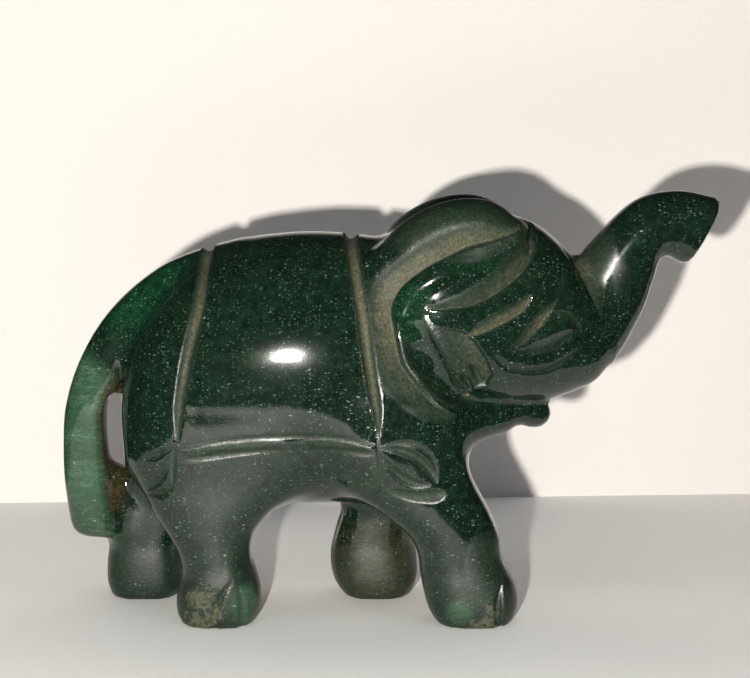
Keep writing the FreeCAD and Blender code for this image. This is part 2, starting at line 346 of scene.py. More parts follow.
# ======================= mesh of the uncarved solid =======================
def surface_net(field):
    """Vertices (mm) and triangles on the field's zero level, one vertex for each cell that it crosses."""
    cells = tuple(n - 1 for n in field.shape)
    total, count = np.zeros(cells + (3,)), np.zeros(cells)
    crossings = []
    for axis in range(3):
        start = np.take(field, range(field.shape[axis] - 1), axis)
        end = np.take(field, range(1, field.shape[axis]), axis)
        edge = np.argwhere((start < 0) != (end < 0))
        a, b = start[tuple(edge.T)], end[tuple(edge.T)]
        point = edge.astype(float)
        point[:, axis] += a / (a - b)
        others = [k for k in range(3) if k != axis]
        ring = []
        for first, second in ((0, 0), (1, 0), (1, 1), (0, 1)):
            cell = edge.copy()
            cell[:, others[0]] -= first
            cell[:, others[1]] -= second
            np.add.at(total, tuple(cell.T), point)
            np.add.at(count, tuple(cell.T), 1)
            ring.append(cell)
        flip = (a < 0) == (axis == 1)
        crossings.append((ring, flip))
    used = count > 0
    number = np.full(cells, -1)
    number[used] = np.arange(used.sum())
    points = low + CELL * total[used] / count[used][:, None]
    triangles = []
    for ring, flip in crossings:
        quad = np.stack([number[tuple(cell.T)] for cell in ring], axis=1)
        quad[flip] = quad[flip][:, ::-1]
        triangles += [quad[:, [0, 1, 2]], quad[:, [0, 2, 3]]]
    return points, np.concatenate(triangles)


def sample(grids, points):
    """Values of several grids at points, linear between grid nodes."""
    place = (points - low) / CELL
    cell = np.clip(np.floor(place).astype(int), 0, np.array(grids[0].shape) - 2)
    t = place - cell
    values = np.zeros((len(grids), len(points)))
    for corner in np.ndindex(2, 2, 2):
        weight = np.prod(np.where(corner, t, 1 - t), axis=1)
        index = tuple((cell + corner).T)
        for k, grid in enumerate(grids):
            values[k] += weight * grid[index]
    return values


def onto_surface(points, grids, steps=3):
    """Moves points to the field's zero level; also returns the outward normals there."""
    for _ in range(steps):
        value, *slope = sample(grids, points)
        slope = np.array(slope).T
        squared = np.maximum((slope ** 2).sum(1), 0.05)
        points = points - slope * (value / squared)[:, None]
    slope = sample(grids[1:], points).T
    return points, slope / np.linalg.norm(slope, axis=1)[:, None]


def split_long_edges(points, triangles, longest):
    """Halves every edge longer than longest(midpoint), and splits its triangles to match."""
    pairs = np.sort(triangles[:, [[0, 1], [1, 2], [2, 0]]].reshape(-1, 2), axis=1)
    edges, which = np.unique(pairs, axis=0, return_inverse=True)
    ends = points[edges]
    middle = ends.mean(1)
    chosen = np.linalg.norm(ends[:, 0] - ends[:, 1], axis=1) > longest(middle)
    new_id = np.full(len(edges), -1)
    new_id[chosen] = len(points) + np.arange(chosen.sum())
    halves = new_id[which.reshape(-1, 3)]
    split = (halves >= 0).sum(1)
    result = [triangles[split == 0]]

    # triangles with one or two long edges are first turned so that those edges come first
    for long_edges, is_turned in ((1, lambda h: h[:, 0] >= 0), (2, lambda h: h[:, 2] < 0)):
        corner, half = triangles[split == long_edges], halves[split == long_edges]
        for _ in range(2):
            turn = ~is_turned(half)
            corner[turn], half[turn] = np.roll(corner[turn], -1, axis=1), np.roll(half[turn], -1, axis=1)
        a, b, c = corner.T
        p, q = half[:, 0], half[:, 1]
        if long_edges == 1:
            faces = [(a, p, c), (p, b, c)]
        else:
            faces = [(p, b, q), (a, p, q), (a, q, c)]
        result += [np.stack(face, axis=1) for face in faces]

    # triangles whose three edges are all long become four
    (a, b, c), (p, q, r) = triangles[split == 3].T, halves[split == 3].T
    result += [np.stack(face, axis=1) for face in ((a, p, r), (p, b, q), (r, q, c), (p, q, r))]
    return np.concatenate((points, middle[chosen])), np.concatenate(result)


# ======================= carved lines =======================
# Cross-sections of a stroke: height for s, the place across it, from -1 (right edge) to 1 (left edge).
def gouge(s):
    """Round-bottomed cut."""
    return -np.clip(1 - s * s, 0, None)


def bead(s):
    """Raised round moulding."""
    return np.clip(1 - s * s, 0, None) ** 1.5


def bank(s):
    """Cut with a steep wall on its line and a floor that climbs away to the right."""
    wall = ramp(s, 0.10, -0.02)
    return -wall * np.clip(1 + s, 0, 1) ** 1.4


def dust(section, s):
    """How much of the cutting dust stays at s in a cut, 0 to 1."""
    if section is gouge:
        return ramp(np.abs(s), 1.45, 0.35)
    if section is bank:
        return ramp(s, -1.28, -0.20) * ramp(s, 0.10, 0.0)
    return 0.5 * ramp(np.abs(s), 1.0, 0.3)


# Each stroke: its section, half width, depth, how dull it is left (0 to 1), and its line. A point of the
# line is (x, z, share of full width and depth), or (x, z, share of width, of depth and of dullness).
STRAPS = [
    (gouge, 0.80, 0.70, 0.95, [
        (-4.9, 50.5, 1, 1, 1), (-4.3, 46.5, 1, 1, 1), (-3.5, 42, 1, 1, 1), (-2.9, 38.5, 1, 1, 1),
        (-2.4, 34.8, 1, 1, 0.9), (-1.9, 31.2, 0.95, 0.8, 0.8), (-1.3, 27.6, 0.8, 0.6, 0.7),
        (-0.95, 24.2, 0.1, 0.1, 0.5)]),
    (gouge, 0.80, 0.66, 0.85, [
        (-22.2, 50, 1, 1, 1), (-22.6, 45.5, 1, 1, 1), (-22.9, 40, 1, 1, 0.95), (-23.9, 35.4, 1, 1, 0.85),
        (-24.8, 30.6, 0.9, 0.8, 0.8), (-25.2, 27.6, 0.8, 0.6, 0.7), (-25.5, 23.6, 0.2, 0.2, 0.5)]),
]
SIDE_STROKES = [
    # fainter lines below the straps
    (gouge, 0.35, 0.14, 0.3, [(-1.1, 23.9, 0.3), (-0.9, 21, 1), (-0.8, 18, 0.4)]),
    (gouge, 0.40, 0.14, 0.3, [(-25.7, 23.0, 0.3), (-26.0, 20.5, 1), (-26.2, 17.6, 0.4)]),
    # hem of the saddle cloth
    (gouge, 0.32, 0.08, 0.3, [
        (-24.6, 23.0, 0.3), (-18.6, 23.9, 1), (-11.2, 24.3, 1), (-5.2, 24.0, 1), (-1.6, 23.3, 0.4)]),
    (bead, 0.70, 0.06, 0.7, [
        (-25.2, 22.3, 0.3, 0.1, 1), (-18.6, 23.1, 1, 0.35, 1), (-14.5, 23.35, 1, 0.6, 1),
        (-11.5, 23.4, 1, 1, 0.05), (-8.5, 23.35, 1, 0.6, 1), (-5.8, 23.2, 1, 0.35, 1),
        (-2.0, 22.7, 0.4, 0.1, 1)]),
    (gouge, 0.50, 0.12, 0.3, [
        (-25.4, 21.3, 0.3), (-22.4, 21.7, 1), (-18.6, 22.2, 0.9), (-12.0, 22.6, 0.4), (-6.0, 22.5, 0.6),
        (-2.2, 22.2, 0.8), (-1.4, 22.1, 0.2)]),
    # leaf tassel on the shoulder
    (gouge, 0.36, 0.13, 0.35, [
        (-0.8, 23.0, 0.3), (1.5, 23.5, 1), (3.6, 23.2, 1), (5.2, 22.0, 1), (5.9, 20.3, 1), (6.1, 18.5, 0.3)]),
    (gouge, 0.60, 0.27, 0.35, [
        (-0.6, 22.8, 0.2), (1.4, 22.6, 0.9), (3.2, 21.9, 1), (4.9, 20.3, 1), (6.1, 18.3, 0.2)]),
    (gouge, 0.55, 0.27, 0.35, [(-0.5, 21.7, 0.3), (1.0, 19.8, 1), (3.2, 18.5, 1), (5.4, 18.1, 0.2)]),
    (gouge, 0.75, 0.24, 0.45, [
        (-0.8, 18.0, 0.2), (1.5, 17.2, 0.7), (4.2, 16.8, 1), (6.6, 17.0, 0.8), (7.2, 17.1, 0.2)]),
    # leaf tassel on the thigh
    (gouge, 0.50, 0.24, 0.3, [(-29.5, 21.1, 0.2), (-28.0, 21.9, 1), (-26.4, 22.7, 0.2)]),
    (gouge, 0.50, 0.24, 0.3, [(-29.5, 17.0, 0.2), (-28.0, 18.5, 1), (-26.6, 20.4, 0.2)]),
    (gouge, 0.50, 0.24, 0.3, [(-29.4, 16.5, 0.2), (-27.3, 17.2, 1), (-26.0, 18.1, 0.2)]),
    # ear: the channel outside its rim, the roll of the rim, and the channel inside it
    (bank, 3.50, 0.95, 1.0, [
        (16.3, 49.2, 0.3, 0.3, 0.5), (14.5, 48.4, 0.6, 0.5, 0.7), (12.1, 47.7, 0.8, 0.7, 0.85),
        (9.2, 46.9, 0.9, 0.9, 1), (7.2, 46.0, 0.9, 1, 1), (5.2, 45.1, 0.85, 1, 1), (3.2, 43.8, 0.8, 1, 1),
        (1.4, 42.2, 0.85, 1, 1), (0.56, 40.6, 0.95, 1, 1), (0.35, 39.2, 0.95, 0.9, 0.95),
        (0.75, 37.2, 1, 0.85, 0.9), (1.26, 34.7, 1, 0.75, 0.8), (2.0, 32.5, 1, 0.7, 0.65),
        (3.2, 30.9, 0.9, 0.6, 0.6), (4.6, 29.3, 0.8, 0.55, 0.55), (5.8, 28.1, 0.7, 0.45, 0.5),
        (7.2, 27.1, 0.5, 0.3, 0.4), (8.6, 26.3, 0.2, 0.1, 0.3)]),
    (bead, 1.70, 0.36, 0.0, [
        (15.2, 47.2, 0.5), (12.0, 46.2, 0.9), (8.6, 44.9, 1), (5.6, 43.5, 1), (3.4, 41.9, 1),
        (2.2, 40.2, 1), (1.8, 38.6, 0.8), (1.8, 37.2, 0.3)]),
    (bank, 2.60, 0.95, 0.8, [
        (17.4, 51.4, 0.5, 0.4, 0.6), (18.2, 48.4, 0.85, 1, 0.75), (17.8, 45.9, 1, 1, 0.85),
        (16.7, 44.2, 1, 0.95, 0.9), (14.9, 42.6, 1, 0.85, 0.85), (12.5, 41.0, 0.9, 0.75, 0.75),
        (10.0, 40.0, 0.75, 0.6, 0.7), (7.6, 39.7, 0.5, 0.45, 0.7), (5.8, 39.6, 0.3, 0.35, 0.6),
        (4.6, 39.9, 0.1, 0.1, 0.3)]),
    (bead, 0.55, 0.06, 0.4, [
        (1.5, 36.2, 0.3), (2.1, 34.2, 1), (3.1, 32.0, 1), (4.6, 30.2, 1), (6.4, 28.6, 1), (8.6, 27.0, 0.3)]),
    # cheek cut
    (bank, 1.60, 0.70, 1.0, [
        (17.6, 41.3, 0.1), (17.3, 40.4, 0.6), (16.5, 39.2, 1), (14.5, 38.0, 1), (12.1, 36.9, 0.9),
        (10.4, 36.4, 0.5), (9.4, 36.3, 0.1)]),
    # two nicks in the ear's inner flap
    (gouge, 0.46, 1.00, 0.0, [(9.9, 32.8, 0.2), (10.8, 31.3, 1), (11.5, 30.1, 0.3)]),
    (gouge, 0.46, 0.90, 0.0, [(8.7, 31.4, 0.2), (9.6, 30.3, 1), (10.4, 29.3, 0.3)]),
    # eye: upper lid, fold over it, outer corner and the crease below
    (bank, 1.60, 0.75, 1.0, [
        (21.0, 40.6, 0.1, 0.1, 0.3), (20.3, 39.6, 0.5, 0.5, 0.6), (19.4, 38.1, 0.9, 0.9, 1),
        (18.5, 36.8, 1), (17.3, 35.6, 0.9, 0.8, 0.8), (15.9, 34.9, 0.6, 0.5, 0.3),
        (14.6, 34.3, 0.2, 0.1, 0.1)]),
    (gouge, 0.55, 0.26, 0.2, [
        (19.0, 38.0, 0.2), (20.6, 38.7, 1), (22.3, 38.5, 1), (23.4, 37.4, 1), (24.0, 36.0, 0.2)]),
    (gouge, 0.50, 0.26, 0.15, [
        (13.0, 33.8, 0.2), (14.6, 32.4, 0.8), (17.1, 31.8, 1), (19.6, 32.0, 1), (22.2, 33.2, 0.9),
        (24.2, 34.6, 0.2)]),
    # hollow between forehead and trunk
    (bank, 3.60, 0.60, 0.9, [
        (26.6, 37.6, 0.1, 0.1, 0.1), (25.6, 40.2, 0.45, 0.5, 0.5), (24.4, 42.8, 0.8, 0.9, 0.8),
        (23.0, 45.2, 1, 1, 1), (21.6, 47.5, 1, 1, 1)]),
]

TOE_CUTS = [
    (gouge, 0.55, 0.55, 0.1, [(14.3, 6.6, 0.2), (13.7, 3.6, 1), (13.9, -1.0, 1)]),
    (gouge, 0.50, 0.26, 0.3, [(-19.0, 6.2, 0.2), (-20.7, 3.6, 1), (-21.4, -1.0, 1)]),
    (gouge, 0.50, 0.26, 0.3, [(-18.3, 5.6, 0.2), (-17.9, 3.4, 1), (-18.1, -1.0, 1)]),
]

# Outlines of the larger areas, and the centres of two bumps in the ear, as (x, z).
EAR_HOLLOW = [
    (1.8, 38.2), (2.0, 35.5), (2.9, 33.2), (4.4, 31.0), (6.2, 29.2), (8.2, 27.9), (10.2, 27.7),
    (9.8, 29.0), (8.7, 30.6), (7.3, 33.2), (5.9, 35.8), (4.6, 38.2), (3.2, 39.0),
]
EAR_FLAP = [
    (4.3, 38.9), (6.3, 37.4), (9.2, 36.9), (10.8, 35.5), (12.1, 33.4), (13.0, 31.2), (12.2, 30.0),
    (10.8, 29.6), (10.0, 28.9), (8.8, 28.9), (7.2, 32.1), (5.0, 36.7),
]
EYEBALL = [(17.0, 35.0), (18.5, 36.7), (20.1, 37.8), (21.9, 37.6), (22.9, 36.9), (21.3, 36.2), (19.3, 35.4)]
LOWER_LID = [
    (15.4, 34.4), (17.3, 34.8), (19.4, 35.2), (21.4, 36.0), (23.2, 36.8), (22.6, 35.2), (20.8, 34.1),
    (18.0, 33.7),
]
EAR_FRILLS = [(2.9, 35.7), (4.5, 31.9)]

# Marks in the stone, each a soft oval: centre and half size (mm), and strength.
GREEN_TOES = [((-17.3, -12.0, 3.0), (2.2, 4.0, 3.4), 1.0), ((8.8, -13.0, 2.2), (2.0, 3.0, 2.0), 1.0)]
ROUGH_SOLES = [
    ((-23.2, -13.0, 2.4), (4.6, 4.5, 4.6), 1.0),
    ((10.4, -13.0, 0.2), (5.0, 4.0, 1.8), 1.0),
    ((13.0, -13.0, 2.0), (1.8, 3.0, 2.4), 1.0),
    ((-21.0, 13.0, 1.2), (2.6, 4.0, 1.8), 1.0),
    ((2.4, 13.0, 0.8), (2.8, 4.0, 1.4), 1.0),
]
RUSTY_AREAS = [
    ((-35.2, 3.0, 15.5), (2.0, 5.5, 5.0), 0.8),
    ((-1.5, 6.0, 5.0), (7.0, 9.0, 8.0), 0.5),
]
# These are on both sides of the figure.
VIVID_AREAS = [
    ((-31, 0, 42), (9, 12, 10), 0.9),
    ((3.0, 13, 39.5), (4.0, 6, 5.0), 0.7),
    ((10.0, 12, 45.5), (5.5, 6, 2.5), 0.3),
]
SCUFFS = [
    ((8.5, 10.5, 49.2), (12.5, 9.0, 4.8), 0.30),
    ((25.4, 4.0, 47.0), (3.6, 6.5, 6.0), 0.45),
    ((29.3, 4.8, 42.0), (2.0, 3.0, 4.0), 0.07),
    ((12.8, 12.5, 8.6), (4.0, 4.0, 5.0), 0.24),
    ((-17.0, 12.5, 8.6), (3.6, 4.0, 5.0), 0.24),
]


def outline_distance(x, z, outline):
    """Distance from a closed outline, negative inside it."""
    closed = np.array(outline + outline[:1], float)
    distance, _ = nearest(x, z, closed)
    inside = np.zeros(x.shape, bool)
    for (ax, az), (bx, bz) in zip(closed[:-1], closed[1:]):
        inside ^= ((az > z) != (bz > z)) & (x < (bx - ax) * (z - az) / (bz - az + 1e-12) + ax)
    return np.where(inside, -1, 1) * np.abs(distance)


def strokes_with_lines():
    """Each stroke's section, dense line (x, z, width, depth, dullness), and if it goes over the back."""
    strokes = []
    for group, over_back in ((STRAPS, True), (SIDE_STROKES, False), (TOE_CUTS, False)):
        for section, half, depth, dullness, line in group:
            full = [point if len(point) == 5 else (*point, point[2], 1) for point in line]
            strokes.append((section, polyline(full) * (1, 1, half, depth, dullness), over_back))
    return strokes


def near_line(x, z, line, reach):
    """Which points are inside the line's box, widened by reach."""
    (x0, z0), (x1, z1) = line[:, :2].min(0) - reach, line[:, :2].max(0) + reach
    return (x > x0) & (x < x1) & (z > z0) & (z < z1)


def longest_edge(points, strokes):
    """How long mesh edges may be at these points: short inside the carved lines, longer on plain stone."""
    x, z = points[:, 0], points[:, 2]
    gap = np.full(len(points), np.inf)
    wall = np.full(len(points), np.inf)
    for section, line, _ in strokes:
        close = np.flatnonzero(near_line(x, z, line, line[:, 2].max() + 1.5))
        across, row = nearest(x[close], z[close], line)
        beyond = np.abs(across) - np.interp(row, np.arange(len(line)), line[:, 2])
        if section is bank:
            wall[close] = np.minimum(wall[close], np.abs(across))
            beyond = np.maximum(beyond, 0.3)
        gap[close] = np.minimum(gap[close], beyond)
    for outline in (EAR_HOLLOW, EAR_FLAP, EYEBALL, LOWER_LID):
        wall = np.minimum(wall, np.abs(outline_distance(x, z, outline)))
    plain = np.where(gap < 0.25, FINE_EDGE, np.where(gap < 0.9, NEAR_EDGE, PLAIN_EDGE))
    return np.where(wall < 0.35, WALL_EDGE, plain)


def carve(points, normals, strokes):
    """Moves the surface in and out to make every carved feature; also returns how dull it is left."""
    x, z = points[:, 0], points[:, 2]
    outward = normals[:, 1] * np.sign(points[:, 1])
    height, dull = np.zeros(len(points)), np.zeros(len(points))
    on_side = ramp(outward, 0.0, 0.3)
    on_back = ramp(normals[:, 2], -0.6, -0.2) * ramp(z, 10, 14)
    for section, line, over_back in strokes:
        close = np.flatnonzero(near_line(x, z, line, line[:, 2].max() * 1.3 + 0.5))
        across, row = nearest(x[close], z[close], line)
        reach, depth, dullness = (np.interp(row, np.arange(len(line)), column) for column in line[:, 2:].T)
        reach = np.maximum(reach, 1e-3)
        ends = (row > 0) & (row < len(line) - 1)
        fade = ends * (on_back[close] if over_back else on_side[close])
        height[close] += section(across / reach) * depth * fade
        dull[close] = np.maximum(dull[close], dust(section, across / reach) * fade * dullness)

    hollow = outline_distance(x, z, EAR_HOLLOW)
    deep_end = ramp(z, 39.5, 34.0) * on_side
    height -= HOLLOW_DEPTH * ramp(hollow, 0.50, -1.00) * deep_end
    dull = np.maximum(dull, 0.10 * ramp(np.abs(hollow), 1.0, 0.2) * deep_end)

    # across_flap is 0 at the flap's rear edge and 1 at its front edge, which both lean
    flap = outline_distance(x, z, EAR_FLAP)
    across_flap = np.clip((x - 4.3 - (38.9 - z) * 0.45) / 4.2, 0, 1)
    height += (0.12 - FLAP_FRONT_DROP * across_flap) * ramp(flap, 0.12, -0.20) * on_side
    dull = np.maximum(dull, (0.18 + 0.40 * ramp(across_flap, 0.30, 0.90)) * ramp(flap, 0.1, -0.3) * on_side)
    for frill_x, frill_z in EAR_FRILLS:
        height += FRILL_HEIGHT * np.exp(-((x - frill_x) ** 2 + (z - frill_z) ** 2) / 0.8) * on_side

    lid = outline_distance(x, z, LOWER_LID)
    height -= LID_DEPTH * ramp(lid, 0.25, -0.5) * on_side
    dull = np.maximum(dull, 0.22 * ramp(lid, 0.2, -0.4) * on_side)
    eyeball = outline_distance(x, z, EYEBALL)
    height += EYEBALL_HEIGHT * ramp(eyeball, 0.1, -0.8) * on_side
    dull *= 1 - ramp(eyeball, 0.3, -0.1)
    return points + normals * height[:, None], dull


def marked(points, marks, both_sides=False):
    """How strongly the points are inside any of the soft ovals, 0 to 1."""
    strongest = np.zeros(len(points))
    for (x, y, z), size, strength in marks:
        for side in (RIGHT, LEFT) if both_sides else (1,):
            squared = (((points - (x, side * y, z)) / np.array(size)) ** 2).sum(1)
            strongest = np.maximum(strongest, strength * ramp(squared, 1.0, 0.15))
    return strongest


def colour_marks(points, dull):
    """How far each point shows the stone's other looks, 0 to 1, by the name of the look."""
    x, y, z = points.T
    tail_line = polyline([
        (-33.0, 36.5), (-35.5, 34.0), (-37.6, 29.0), (-38.8, 22.0), (-38.7, 14.0), (-38.0, 8.0),
    ])
    from_tail, _ = nearest(x, z, tail_line)
    on_tail = ramp(np.abs(from_tail), 3.4, 2.4) * ramp(np.abs(y), 7.0, 5.0)
    # painted glow: the tail is paler partly because of its paler streaked stone and partly as painted light
    # shining through the thin tail
    tail_pale_and_glow = on_tail * ramp(z + 0.9 * (x + 38), 35.5, 31.0) * (1 - 0.4 * ramp(z, 14.5, 12.5))
    left_feet_light = 0.45 * ramp(z, 9, 2) * ramp(y, 3, 5)
    green_toes = marked(points, GREEN_TOES)
    from_hole = np.hypot((x - HOLE_X) / HOLE_HALF_WIDTH, (z - HOLE_Z) / HOLE_HALF_HEIGHT)
    rusty_rim = 0.8 * ramp(from_hole, 2.0, 1.0) * ramp(x, -32.9, -34.2)
    dull_feet = 0.20 * ramp(z, 10.0, 3.0)
    looks = {
        "dull": (dull, marked(points, SCUFFS, both_sides=True), dull_feet),
        "pale_and_glow": (tail_pale_and_glow, left_feet_light, 0.85 * green_toes),
        "stain": (rusty_rim, marked(points, RUSTY_AREAS)),
        "vivid": (marked(points, VIVID_AREAS, both_sides=True), green_toes),
        "raw": (marked(points, ROUGH_SOLES),),
    }
    return {name: np.max(parts, axis=0) for name, parts in looks.items()}


# ======================= the stone's own mesh =======================
def carved_mesh():
    field = uncarved_solid()
    grids = [field] + list(np.gradient(field, CELL))
    strokes = strokes_with_lines()
    points, triangles = surface_net(field)
    points, normals = onto_surface(points, grids)
    for _ in range(REFINE_ROUNDS):
        points, triangles = split_long_edges(points, triangles, lambda middle: longest_edge(middle, strokes))
        points, normals = onto_surface(points, grids)
    carved, dull = carve(points, normals, strokes)
    carved[:, 2] = np.maximum(carved[:, 2], 0)
    mesh = bpy.data.meshes.new("carved_stone")
    mesh.from_pydata(carved * MM, [], triangles)
    mesh.shade_smooth()
    for name, values in colour_marks(carved, dull).items():
        attribute = mesh.attributes.new(name, "FLOAT", "POINT")
        attribute.data.foreach_set("value", values.astype(np.float32))
    mesh.validate()
    return mesh


# ======================= materials =======================
class Nodes:
    """Short way to build a node material: each call adds a node and returns its first output."""

    def __init__(self, name):
        self.material = bpy.data.materials.new(name)
        self.material.use_nodes = True
        self.tree = self.material.node_tree
        self.tree.nodes.clear()

    def add(self, kind, inputs=None, output=0, **settings):
        node = self.tree.nodes.new(kind)
        for key, value in settings.items():
            setattr(node, key, value)
        for key, value in (inputs or {}).items():
            if isinstance(value, bpy.types.NodeSocket):
                self.tree.links.new(value, node.inputs[key])
            else:
                node.inputs[key].default_value = value
        return node.outputs[output] if node.outputs else None

    def math(self, operation, a, b=0.0, clamp=False):
        return self.add("ShaderNodeMath", {0: a, 1: b}, operation=operation, use_clamp=clamp)

    def mix(self, factor, a, b):
        return self.add("ShaderNodeMix", {0: factor, 6: a, 7: b}, output=2, data_type="RGBA")

    def band(self, value, start, end, low_value=0.0, high_value=1.0):
        inputs = {
            "Value": value, "From Min": start, "From Max": end, "To Min": low_value, "To Max": high_value,
        }
        return self.add("ShaderNodeMapRange", inputs, interpolation_type="SMOOTHSTEP")

    def attribute(self, name):
        return self.add("ShaderNodeAttribute", attribute_name=name, output=2)

    def stretched(self, position, x, y, z):
        return self.add("ShaderNodeVectorMath", {0: position, 1: (x, y, z)}, operation="MULTIPLY")

    def noise(self, position, scale, detail=4.0, roughness=0.55, distortion=0.0):
        inputs = {
            "Vector": position, "Scale": scale, "Detail": detail, "Roughness": roughness,
            "Distortion": distortion,
        }
        return self.add("ShaderNodeTexNoise", inputs)

    def flakes(self, position, scale, share, size):
        """Scattered flakes: this share of the cells holds one, each with a brightness of its own."""
        inputs = {"Vector": position, "Scale": scale, "Randomness": 1.0}
        colour = self.add("ShaderNodeTexVoronoi", inputs, output=1)
        cell = self.add("ShaderNodeSeparateColor", {"Color": colour})
        distance = self.add("ShaderNodeTexVoronoi", inputs)
        return self.math("MULTIPLY", self.band(cell, 1 - share, 1), self.band(distance, size, size * 0.45))


def jade():
    """Near-black green stone full of pale mica flakes, powdery where unpolished, and paler in the tail,
    partly its paler stone and partly painted glow of light shining through the thin tail.
    """
    n = Nodes("polished_green_jade")
    place = n.stretched(n.add("ShaderNodeTexCoord", output=3), 1000, 1000, 1000)
    names = ("dull", "pale_and_glow", "stain", "vivid", "raw")
    dull, pale_and_glow, stain, vivid, raw = (n.attribute(name) for name in names)

    # dark stone, richer green in places
    mottle = n.noise(place, 0.9, 6.0, 0.72, 0.4)
    cloud = n.noise(place, 0.11, 3.0, 0.6)
    stone = n.mix(n.band(mottle, 0.34, 0.74), (0.0018, 0.0065, 0.0036, 1), (0.0064, 0.0182, 0.0104, 1))
    rich = n.mix(n.band(mottle, 0.30, 0.72), (0.0018, 0.0100, 0.0046, 1), (0.0055, 0.0380, 0.0170, 1))
    stone = n.mix(n.math("MAXIMUM", vivid, n.band(cloud, 0.52, 0.80, 0.0, 0.45)), stone, rich)

    # pale streaked stone, which on the tail is also painted glow of light shining through the thin stone;
    # brown clouds and rust
    fibres = n.noise(n.stretched(place, 0.8, 0.8, 4.6), 1.0, 6.0, 0.72, 1.2)
    bands = n.noise(n.stretched(place, 0.10, 0.10, 0.42), 1.0, 3.0, 0.6)
    pale = n.mix(n.band(fibres, 0.34, 0.68), (0.008, 0.040, 0.018, 1), (0.064, 0.110, 0.070, 1))
    pale = n.mix(n.band(bands, 0.40, 0.62, 0.0, 0.75), pale, (0.014, 0.042, 0.022, 1))
    # paler stone mixed in, which on the tail also carries the painted glow of light through the thin stone
    stone = n.mix(pale_and_glow, stone, pale)
    stone = n.mix(n.band(cloud, 0.50, 0.75, 0.0, 0.35), stone, n.mix(0.5, stone, (0.020, 0.024, 0.010, 1)))
    rusty = n.mix(n.band(fibres, 0.30, 0.70), (0.007, 0.007, 0.003, 1), (0.072, 0.048, 0.018, 1))
    stone = n.mix(n.math("MULTIPLY", stain, n.band(mottle, 0.25, 0.60, 0.35, 1.0)), stone, rusty)

    # mica flakes of three sizes, and a few ochre ones
    shift_inputs = {"Vector": place, "Scale": 1.4, "Detail": 1.0, "Roughness": 0.5}
    shift = n.add("ShaderNodeTexNoise", shift_inputs, output=1)
    shift = n.add("ShaderNodeVectorMath", {0: shift, 1: (0.5, 0.5, 0.5)}, operation="SUBTRACT")
    shift = n.stretched(shift, 0.30, 0.30, 0.30)
    warped = n.add("ShaderNodeVectorMath", {0: shift, 1: place}, operation="ADD")
    grain = n.stretched(warped, 0.9, 1.0, 1.7)
    dense = n.band(n.noise(place, 0.33, 3.0, 0.6), 0.34, 0.64, 0.25, 1.0)
    fine = n.math("MULTIPLY", n.flakes(grain, 3.0, 0.65, 0.38), 0.26)
    medium = n.math("MULTIPLY", n.flakes(grain, 1.8, 0.42, 0.32), 0.44)
    large = n.math("MULTIPLY", n.flakes(grain, 0.95, 0.14, 0.23), 0.68)
    mica = n.math("MULTIPLY", n.math("MAXIMUM", fine, n.math("MAXIMUM", medium, large)), dense)
    stone = n.mix(mica, stone, (0.20, 0.29, 0.235, 1))
    ochre = n.flakes(warped, 0.30, 0.03, 0.08)
    stone = n.mix(n.math("MULTIPLY", ochre, 0.6), stone, (0.26, 0.18, 0.07, 1))

    # dust on unpolished stone: a green film, and pale powder where it is thick or the stone is chipped
    wear = n.math("SUBTRACT", n.noise(place, 1.1, 5.0, 0.72), 0.5)
    powdery = n.math("ADD", dull, n.math("MULTIPLY", wear, n.band(dull, 0.02, 0.5, 0.0, 0.75)), clamp=True)
    chips = n.math("MULTIPLY", n.math("SUBTRACT", n.noise(place, 0.55, 6.0, 0.75), 0.5), 3.2)
    chips = n.band(n.math("ADD", raw, chips), 0.45, 1.15, 0.0, 0.85)
    powdery = n.math("MAXIMUM", powdery, n.math("MULTIPLY", chips, n.band(raw, 0.0, 0.3)))
    speck = n.band(n.noise(place, 2.6, 4.0, 0.75), 0.30, 0.72)
    green_dust = n.mix(speck, (0.006, 0.013, 0.007, 1), (0.022, 0.034, 0.021, 1))
    pale_dust = n.mix(speck, (0.030, 0.032, 0.018, 1), (0.088, 0.088, 0.053, 1))
    colour = n.mix(n.band(powdery, 0.04, 0.50), stone, green_dust)
    colour = n.mix(n.band(powdery, 0.45, 1.0), colour, pale_dust)

    # gloss and fine relief
    rough = n.math("ADD", n.band(powdery, 0.0, 0.12, 0.085, 0.33), n.band(powdery, 0.10, 0.55, 0.0, 0.27))
    rough = n.math("ADD", rough, n.band(mica, 0.05, 0.6, 0.0, 0.05))
    ripple = n.math("MULTIPLY", n.noise(place, 0.16, 2.0, 0.5), 0.022)
    pits = n.math("MULTIPLY", n.flakes(grain, 0.9, 0.14, 0.20), -0.004)
    texture = n.math("MULTIPLY", n.noise(place, 3.2, 3.0, 0.6), n.band(powdery, 0.0, 0.6, 0.003, 0.080))
    height = n.math("ADD", ripple, n.math("ADD", pits, texture))
    normal = n.add("ShaderNodeBump", {"Strength": 1.0, "Distance": 0.001, "Height": height})
    surface = n.add("ShaderNodeBsdfPrincipled", {
        "Base Color": colour, "Roughness": rough, "IOR": 1.62, "Normal": normal,
        "Specular IOR Level": n.band(powdery, 0.02, 0.30, 0.5, 0.18),
    })
    n.add("ShaderNodeOutputMaterial", {"Surface": surface})
    return n.material


# ======================= stage =======================
CAMERA_DISTANCE = 243    # from the figure's middle plane to the camera (mm)
EYE_HEIGHT = 61.5        # of the camera (mm)
PITCH = 6.3              # degrees that the camera looks below the horizon
LENS = 92.1              # focal length (mm)
WALL_Y = 72              # where the wall crosses x = 0 (mm)
WALL_TURN = 3.6          # degrees that the wall is turned away on the right
ROOM_REACH = 900         # how far the floor and the wall go (mm)
SHEET_FRONT = -80        # front edge, at x = 0, of the pale sheet that the stone mirrors (mm)
SHEET_SLANT = 0.9        # how far that edge comes towards the wall for each mm along +X


